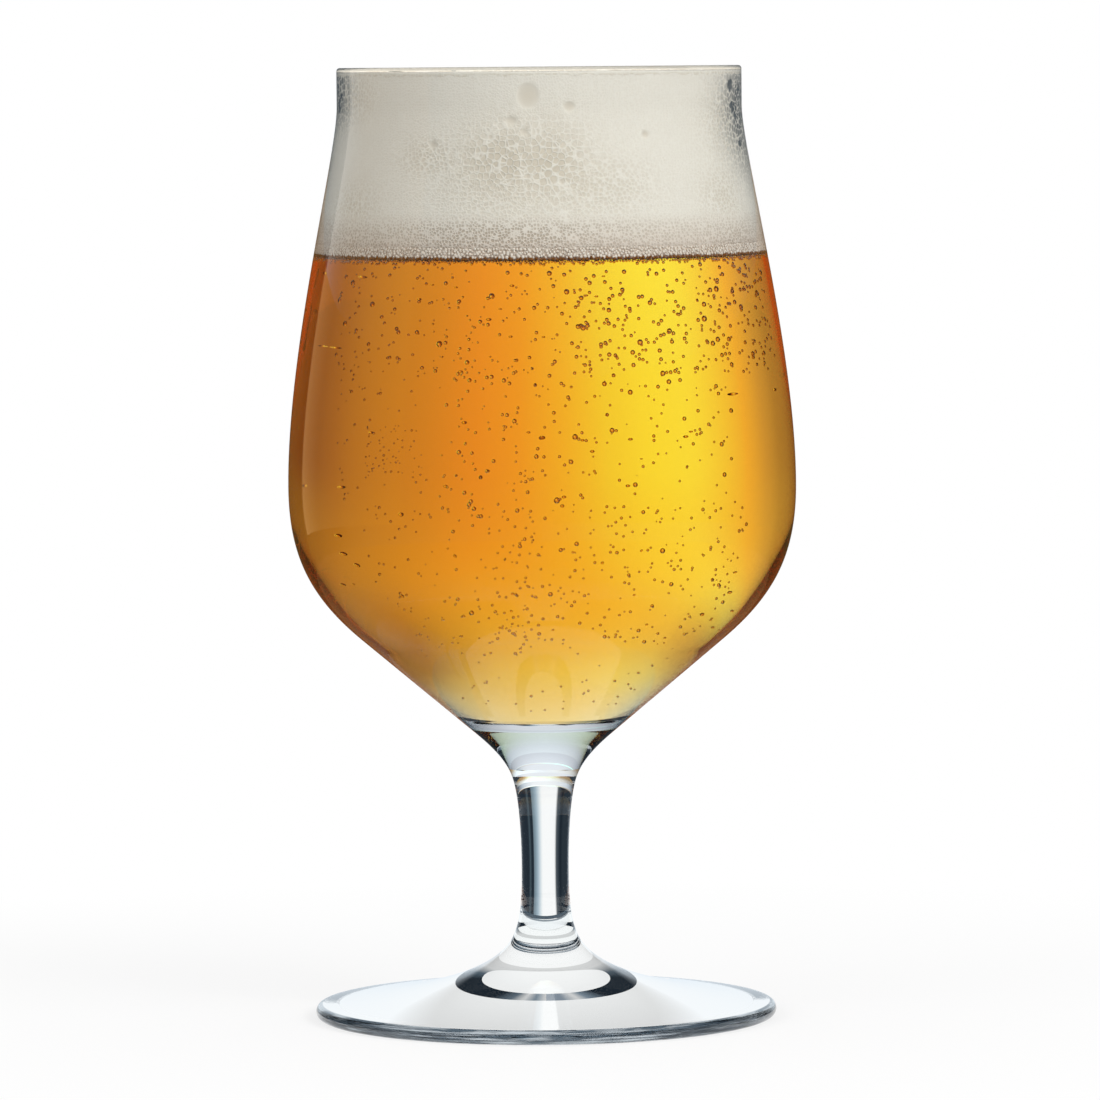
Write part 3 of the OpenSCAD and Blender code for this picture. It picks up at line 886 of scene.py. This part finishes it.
# bead_edge_shade is painted shade: 0 where a bead faces out through the glass, rising to 1 at its round edge
with_layer(beads, "bead_edge_shade", np.clip((PALE_FROM - looks_out) / PALE_WIDTH, 0, 1).ravel())
belongs(beads, "foam_head")

# %% [markdown]
# ## Floor
# The glass stands on a pale board that runs out of the picture. A plain white plane would need strong light
# to look white, and that light would burn out the foam. So the board glows by itself for rays that come
# from the eye, straight or through glass, and only near the glass keeps a part that takes a soft shadow.

# %% Pale floor
FLOOR_REACH, FLOOR_DROP = 4000, 0.05
SHADOW_FROM, SHADOW_TO, LEAST_GLOW = 40 * MM, 220 * MM, 0.75


def grid_piece(name, u, v, surface):
    """Open sheet: surface(u, v) on a grid of two parameters."""
    uu, vv = np.meshgrid(u, v, indexing="ij")
    points = surface(uu, vv).reshape(-1, 3)
    row, column = np.meshgrid(np.arange(len(u) - 1), np.arange(len(v) - 1), indexing="ij")
    corner = row * len(v) + column
    faces = np.stack([corner, corner + len(v), corner + len(v) + 1, corner + 1], -1).reshape(-1, 4).tolist()
    return made_piece(name, points, faces, [], np.zeros(len(faces), int))


def seen_by_eye(tree):
    """1 for camera, mirror and glass rays, 0 for the light that falls on things: the largest of the three flags."""
    path = add_node(tree, "ShaderNodeLightPath", {}).outputs
    seen = path["Is Camera Ray"]
    for flag in ("Is Glossy Ray", "Is Transmission Ray"):
        seen = add_node(tree, "ShaderNodeMath", {"operation": "MAXIMUM"}, [(seen, 0), (path[flag], 1)]).outputs[0]
    return seen


sides = np.linspace(-FLOOR_REACH, FLOOR_REACH, 9)
floor = grid_piece("studio_floor", sides, sides, lambda u, v: np.stack([u, v, 0 * u - FLOOR_DROP], -1))
floor_finish, tree = new_finish("pale_floor_board")
matt = add_node(tree, "ShaderNodeBsdfDiffuse", {"Color": to_linear("#F4F4F4")})
glow = add_node(tree, "ShaderNodeEmission", {"Color": WHITE, "Strength": 1.0})
place = add_node(tree, "ShaderNodeTexCoord", {}).outputs["Object"]
away = add_node(tree, "ShaderNodeVectorMath", {"operation": "LENGTH"}, [(place, 0)]).outputs["Value"]
fade = {"From Min": SHADOW_FROM, "From Max": SHADOW_TO, "To Min": LEAST_GLOW, "To Max": 1.0}
fade = add_node(tree, "ShaderNodeMapRange", fade, [(away, "Value")]).outputs["Result"]
through_glass = add_node(tree, "ShaderNodeLightPath", {}).outputs["Is Transmission Ray"]
bright = add_node(tree, "ShaderNodeMath", {"operation": "MAXIMUM"}, [(fade, 0), (through_glass, 1)]).outputs[0]
share = add_node(tree, "ShaderNodeMath", {"operation": "MULTIPLY"}, [(seen_by_eye(tree), 0), (bright, 1)]).outputs[0]
mixed = add_node(tree, "ShaderNodeMixShader", {}, [(share, 0), (matt.outputs[0], 1), (glow.outputs[0], 2)])
add_node(tree, "ShaderNodeOutputMaterial", {}, [(mixed.outputs[0], "Surface")])
floor.data.materials.append(floor_finish)

# %% [markdown]
# ## World and lamps
# The room behind is white to the eye and gives about half of that as light, so that colours come out as
# they are written. A large soft lamp from the front right shapes the foam, and a weaker one from the left
# fills its shade. Neither shows in the glass: what the glass mirrors is left to the cards below.

# %% White air and two soft lamps
AMBIENT = 0.55
LAMP_SIDE, LAMP_AIM = 0.8, np.array([0, 0, 0.08])

world = bpy.data.worlds.new("studio_air")
world.use_nodes = True
tree = world.node_tree
tree.nodes.clear()
lift = {"operation": "MULTIPLY_ADD", 1: 1 - AMBIENT, 2: AMBIENT}
lift = add_node(tree, "ShaderNodeMath", lift, [(seen_by_eye(tree), 0)])
air = add_node(tree, "ShaderNodeBackground", {"Color": WHITE}, [(lift.outputs[0], "Strength")])
add_node(tree, "ShaderNodeOutputWorld", {}, [(air.outputs[0], "Surface")])
bpy.context.scene.world = world


def soft_lamp(name, place, power):
    """Square soft lamp at a place in metres, with a power in watts. It leans by the angle between straight down and
    the way to its aim, and turns by the compass angle of that way."""
    lamp = bpy.data.lights.new(name, "AREA")
    lamp.size, lamp.energy = LAMP_SIDE, power
    made = bpy.data.objects.new(name, lamp)
    made.location = place
    way = LAMP_AIM - np.array(place)
    made.rotation_mode = "XYZ"
    lean, compass = np.arccos(-way[2] / np.linalg.norm(way)), np.arctan2(way[1], way[0]) - np.pi / 2
    made.rotation_euler = (lean, 0, compass)
    made.visible_glossy = made.visible_transmission = False
    bpy.context.scene.collection.objects.link(made)
    print(name, "leans by", round(float(np.degrees(lean)), 1), "degrees")


soft_lamp("key_lamp", (1.0, -1.0, 0.95), 18.2)
soft_lamp("fill_lamp", (-1.1, -0.77, 0.75), 6.9)

# %% [markdown]
# ## Cards
# Glass is lit by what it sees. A plain white world would leave it without edges, so round cards stand
# about it, as a photographer sets them up: pale ones behind, dark flags at the sides, a softbox on the
# left. They are unseen by the camera. Each is a ring that glows by compass angle, one way for light that
# comes through the glass and another for light that the glass mirrors. A third way, without colour, is
# for light that crosses the glass on its way to the foam, so that the foam stays cream.

# %% Paint of a card
RAMP_TOP = 3.2
ON_THE_FOAM = {-180: 0.3, -120: 0.3, -60: 0.6, 0: 1.5, 60: 0.6, 120: 0.3}
DUSK_COLOUR, DUSK_FROM, DUSK_TO, DUSK_LEVELS = "#FFAA65", 25 * MM, 60 * MM, (0.25, 0.36)
DAWN_FROM, DAWN_TO, DAWN_LEAST = 35 * MM, 50 * MM, 0.06


def card_ramp(tree, share, stops):
    """Brightness by compass angle: stops give the angle from straight behind, to the right, and the level there."""
    ramp = add_node(tree, "ShaderNodeValToRGB", {}, [(share, "Fac")])
    elements = ramp.color_ramp.elements
    elements.remove(elements[1])
    elements[0].position = 0
    for degrees, level in sorted(stops.items()):
        stop = elements[0] if degrees == -180 else elements.new(degrees / 360 + 0.5)
        stop.color = (*(np.ones(3) * level / RAMP_TOP).tolist(), 1)
    return ramp.outputs["Color"]


def two_sided_glow(tree, place, glow):
    """Level card: its lower side glows as painted, but hardly near the stem; its upper side is dim amber."""
    away = add_node(tree, "ShaderNodeVectorMath", {"operation": "LENGTH"}, [(place, 0)]).outputs["Value"]
    dawn = {"From Min": DAWN_FROM, "From Max": DAWN_TO, "To Min": DAWN_LEAST, "To Max": RAMP_TOP}
    dawn = add_node(tree, "ShaderNodeMapRange", dawn, [(away, "Value")])
    tree.links.new(dawn.outputs["Result"], glow.inputs["Strength"])
    dusk = {"interpolation_type": "SMOOTHSTEP", "From Min": DUSK_FROM, "From Max": DUSK_TO}
    dusk |= {"To Min": DUSK_LEVELS[0], "To Max": DUSK_LEVELS[1]}
    dusk = add_node(tree, "ShaderNodeMapRange", dusk, [(away, "Value")]).outputs["Result"]
    above = add_node(tree, "ShaderNodeEmission", {"Color": to_linear(DUSK_COLOUR)}, [(dusk, "Strength")]).outputs[0]
    upper = add_node(tree, "ShaderNodeNewGeometry", {}).outputs["Backfacing"]
    return add_node(tree, "ShaderNodeMixShader", {}, [(upper, 0), (glow.outputs[0], 1), (above, 2)])


def card_paint(name, through_stops, mirror_stops, soft=None, two_sided=False):
    """Glow by compass angle, which is the arctangent of x over y. soft: two heights in mm between which the card
    fades out upwards."""
    finish, tree = new_finish(name)
    place = add_node(tree, "ShaderNodeTexCoord", {}).outputs["Object"]
    axes = add_node(tree, "ShaderNodeSeparateXYZ", {}, [(place, 0)]).outputs
    compass = add_node(tree, "ShaderNodeMath", {"operation": "ARCTAN2"}, [(axes["X"], 0), (axes["Y"], 1)])
    share = {"operation": "MULTIPLY_ADD", 1: 1 / (2 * np.pi), 2: 0.5}
    share = add_node(tree, "ShaderNodeMath", share, [(compass.outputs[0], 0)]).outputs[0]
    every_stops = (through_stops or {-180: 0}, mirror_stops or {-180: 0}, ON_THE_FOAM)
    through, mirrored, on_foam = [card_ramp(tree, share, stops) for stops in every_stops]
    path = add_node(tree, "ShaderNodeLightPath", {}).outputs
    falls = {"operation": "MINIMUM", 1: 1.0}
    falls = add_node(tree, "ShaderNodeMath", falls, [(path["Diffuse Depth"], 0)]).outputs[0]
    level = mirrored
    for flag, other in ((path["Is Transmission Ray"], through), (falls, on_foam)):
        choice = [(flag, 0), (level, 6), (other, 7)]
        level = add_node(tree, "ShaderNodeMix", {"data_type": "RGBA"}, choice).outputs[2]
    shown = glow = add_node(tree, "ShaderNodeEmission", {"Strength": RAMP_TOP}, [(level, "Color")])
    if soft:
        fade = {"interpolation_type": "SMOOTHSTEP", "From Min": soft[0] * MM, "From Max": soft[1] * MM}
        fade = add_node(tree, "ShaderNodeMapRange", fade, [(axes["Z"], "Value")]).outputs["Result"]
        clear = add_node(tree, "ShaderNodeBsdfTransparent", {}).outputs[0]
        shown = add_node(tree, "ShaderNodeMixShader", {}, [(fade, 0), (glow.outputs[0], 1), (clear, 2)])
    if two_sided:
        shown = two_sided_glow(tree, place, glow)
    add_node(tree, "ShaderNodeOutputMaterial", {}, [(shown.outputs[0], "Surface")])
    return finish


print("brightest card:", RAMP_TOP)

# %% Ring of card
CARD_SIDES = 96


def card_ring(name, radii, heights, through_stops, mirror_stops, soft_from=None, two_sided=False):
    """Ring of card between two circles. At an angle u and a share v of the way from circle to circle it has the
    point (r cos u, r sin u, z), where r and z run evenly from the first circle's to the second's."""

    def sheet(u, v):
        radius = radii[0] + (radii[1] - radii[0]) * v
        return np.stack([radius * np.cos(u), radius * np.sin(u), heights[0] + (heights[1] - heights[0]) * v], -1)

    ring = grid_piece(name, np.linspace(0, 2 * np.pi, CARD_SIDES + 1), np.linspace(0, 1, 3), sheet)
    soft = soft_from and (soft_from, heights[1])
    ring.data.materials.append(card_paint(name + "_paint", through_stops, mirror_stops, soft, two_sided))
    ring.visible_camera = ring.visible_diffuse = ring.visible_shadow = False
    ring.visible_transmission = through_stops is not None
    ring.visible_glossy = mirror_stops is not None


print("sides of a card:", CARD_SIDES)

# %% [markdown]
# ## The tent
# The widest cards are a round tent. What is seen through the beer runs from bright yellow, left of straight
# behind, to dark red on the right, and the belly turns that round, as any round lens does. What the wall
# mirrors is dark but for the softbox on the left, whose upright edge shows on the belly and on the foam.
# Beside the foam the mirrored colours are neutral, since there is no beer to make them look right.

# %% Tent of cards
TENT_RADIUS, TENT_TOP, TENT_FOOT, FOAM_TENT_FOOT, TENT_GAP = 220, 700, 52, 154, 5
SEEN_THROUGH = {
    -180: 0.5, -120: 0.42, -90: 0.42, -56: 0.5, -37: 0.58, -29: 0.81,
    -22.6: (1.12, 1.16, 0.85), -18: (1.15, 1.6, 1.2), -11.8: (1.22, 2.3, 1.95), -7.5: (1.22, 2.35, 1.95),
    -4.2: (1.15, 2.05, 1.9), -1.3: (1.12, 1.5, 1.35), 1.5: (1.08, 1.08, 1.0), 4.5: (1.0, 0.86, 0.85),
    7.9: (0.82, 0.72, 0.7), 12.3: (0.68, 0.59, 0.6), 23.7: (0.42, 0.3, 0.33), 30: (0.31, 0.2, 0.22),
    38: (0.26, 0.16, 0.15), 40: (0.2, 0.1, 0.08), 90: (0.3, 0.28, 0.27), 120: 0.42,
}
BROWN = (0.14, 0.07, 0.02)
MIRRORED = {
    -180: 0.1, -122: 0.1, -118: (0.5, 0.28, 0.1), -68: (0.5, 0.28, 0.1), -52: (0.95, 0.55, 0.22),
    -51: BROWN, 35: BROWN, 150: (0.14, 0.09, 0.05), 180: 0.1,
}
HIGH_MIRRORED = {
    -180: 0.1, -122: 0.1, -118: (0.5, 0.29, 0.12), -75: (0.5, 0.32, 0.16), -62: (0.55, 0.48, 0.4),
    -53: (0.75, 0.73, 0.7), -52: (0.05, 0.07, 0.09), 35: (0.05, 0.07, 0.09), 150: (0.08, 0.1, 0.12),
}
RUST = (0.22, 0.075, 0.02)
LOW_MIRRORED = {-180: 0.1, -100: 0.1, -80: RUST, 80: RUST, 100: 0.12, 150: 0.15}

tent, inner_tent = (TENT_RADIUS, TENT_RADIUS), (TENT_RADIUS - TENT_GAP, TENT_RADIUS - TENT_GAP)
card_ring("card_tent", tent, (TENT_FOOT, TENT_TOP), SEEN_THROUGH, MIRRORED)
card_ring("card_tent_beside_foam", inner_tent, (FOAM_TENT_FOOT, TENT_TOP), None, HIGH_MIRRORED)
card_ring("card_tent_beside_stem", tent, (0, TENT_FOOT), SEEN_THROUGH, LOW_MIRRORED)

# %% [markdown]
# ## Cards close to the cone and the base
# The cone and the solid base bend light so far that they look down past the tent. Narrow rings close to
# the glass give them what the photo shows there: a bright middle and warm sides for the cone, pale grey
# with dark sides for the base. The rings of the cone fade out upwards, so that no edge shows in the beer.

# %% Cards round the cone and the base
NAVY, SLATE, MIST, SMOKE = (0.012, 0.02, 0.03), (0.1, 0.13, 0.16), (0.7, 0.76, 0.82), (0.2, 0.22, 0.24)
AMBER, STRAW = (0.6, 0.35, 0.15), (0.85, 0.7, 0.4)
BEHIND_CONE = {
    -180: (1.1, 1.05, 0.75), -160: STRAW, -135: AMBER, -80: AMBER, -55: (0.5, 0.33, 0.16),
    -35: (0.42, 0.29, 0.15), -20: (0.5, 0.36, 0.2), -14: (0.8, 0.74, 0.44), -8: (1.0, 1.05, 0.75),
    0: (1.1, 1.24, 0.9), 12: (1.2, 1.42, 1.1), 18: (1.18, 1.32, 0.95), 24: (0.9, 0.76, 0.42),
    30: (0.65, 0.43, 0.2), 40: (0.55, 0.36, 0.16), 60: (0.55, 0.4, 0.2), 80: AMBER, 135: AMBER, 160: STRAW,
}
BELOW_CONE = {
    -180: 1.1, -160: 0.9, -140: SMOKE, -60: SMOKE, -35: (0.5, 0.47, 0.42), -15: (0.95, 0.95, 0.9),
    0: (1.1, 1.15, 1.15), 20: (1.25, 1.35, 1.4), 35: (0.8, 0.8, 0.75), 60: SMOKE, 140: SMOKE, 160: 0.9,
}
BEHIND_BASE = {
    -180: 0.95, -160: MIST, -140: SLATE, -70: SLATE, -50: (0.3, 0.36, 0.42), -30: MIST, -10: (0.92, 0.94, 0.96),
    12: (0.96, 0.98, 1.0), 30: (0.6, 0.67, 0.74), 48: (0.12, 0.16, 0.2), 70: NAVY, 140: SLATE, 160: MIST,
}

card_ring("card_round_stem", (30, 30), (20.5, 45), None, {-180: (0.09, 0.11, 0.13)})
card_ring("card_behind_base", (48, 48), (50, 55), BEHIND_BASE, None)
card_ring("card_below_cone", (51, 51), (50, 67), BELOW_CONE, None, soft_from=58)
card_ring("card_behind_cone", (52, 52), (50, 97), BEHIND_CONE, None, soft_from=73)

# %% [markdown]
# ## Flags behind the stem and the foot
# A stem is a thin rod of glass, and a rod squeezes the whole room into its width. Two dark flags leave
# only a pale gap straight behind, and the stem gets its dark sides. Smaller flags on the table draw the
# foot: a dark ring under its edge, and a broken dark ring under its middle. Last, a level card hangs
# between foot and bowl for mirrored light alone. It is pale below and behind, which the foot mirrors, and
# dim amber above, so that the beer isn't veiled.

# %% Flags and cards round the stem and the foot
COAL, STEEL, RIM_GREY = (0.03, 0.04, 0.05), (0.2, 0.26, 0.32), (0.05, 0.08, 0.11)
ON_TABLE, UNDER_FOOT = 0.15, -0.03
BEHIND_STEM = {
    -180: 0.9, -170: 0.85, -163: SLATE, -155: COAL, -100: COAL, -75: (0.45, 0.5, 0.55), -60: SLATE, -55: NAVY,
    -32: (0.02, 0.03, 0.04), -25: (0.006, 0.012, 0.02), -20: (0.04, 0.055, 0.07), -16.4: (0.1, 0.115, 0.13),
    -14.8: 1.0, 3: 1.0, 4.5: (0.93, 0.95, 0.95), 7.3: (0.65, 0.73, 0.78), 10.5: (0.37, 0.48, 0.56),
    15: (0.2, 0.275, 0.33), 16.8: (0.19, 0.26, 0.31), 17.6: NAVY, 22: NAVY, 25: (0.06, 0.09, 0.11), 29: NAVY,
    55: NAVY, 70: (0.08, 0.1, 0.12), 100: COAL, 155: COAL, 163: SLATE, 170: 0.85,
}
PALE_BLUE = (0.8, 0.88, 0.95)
PALE_BEHIND = {-180: 0.1, -75: 0.1, -60: PALE_BLUE, 60: PALE_BLUE, 75: 0.1}
FOOT_MIDDLE = {
    -180: 0.55, -172: STEEL, -164: 0.7, -155: (0.12, 0.16, 0.2), -140: NAVY, -75: NAVY, -55: (0.1, 0.14, 0.18),
    -35: 0.7, 25: 0.7, 55: (0.08, 0.11, 0.14), 75: NAVY, 135: NAVY, 150: STEEL, 158: 0.75, 168: (0.25, 0.3, 0.36),
}

card_ring("stem_flags", (50, 50), (ON_TABLE, 49.5), BEHIND_STEM, None)
card_ring("stem_flags_on_table", (42, 50), (ON_TABLE, ON_TABLE), BEHIND_STEM, None)
card_ring("pale_foot_card", (62, 62), (0.3, 19.4), None, PALE_BEHIND)
card_ring("rim_flag", (48, 48), (ON_TABLE, 3), {-180: RIM_GREY}, None)
card_ring("foot_middle_flag", (9.5, 14.5), (UNDER_FOOT, UNDER_FOOT), FOOT_MIDDLE, None)
card_ring("rim_flag_on_table", (37.5, 47.9), (UNDER_FOOT, UNDER_FOOT), {-180: RIM_GREY}, None)
card_ring("card_under_bowl", (4.8, 219), (20, 20), None, PALE_BEHIND, two_sided=True)

# %% [markdown]
# ## Finish
# The finer surfaces must not make the glass larger. Light that is mirrored round inside thick glass needs more bounces
# than usual before it comes out again. With too few, parts of the base and the stem would turn black.

bpy.context.scene.cycles.glossy_bounces = 16
bpy.context.scene.cycles.transmission_bounces = 24
bpy.context.scene.cycles.max_bounces = 28
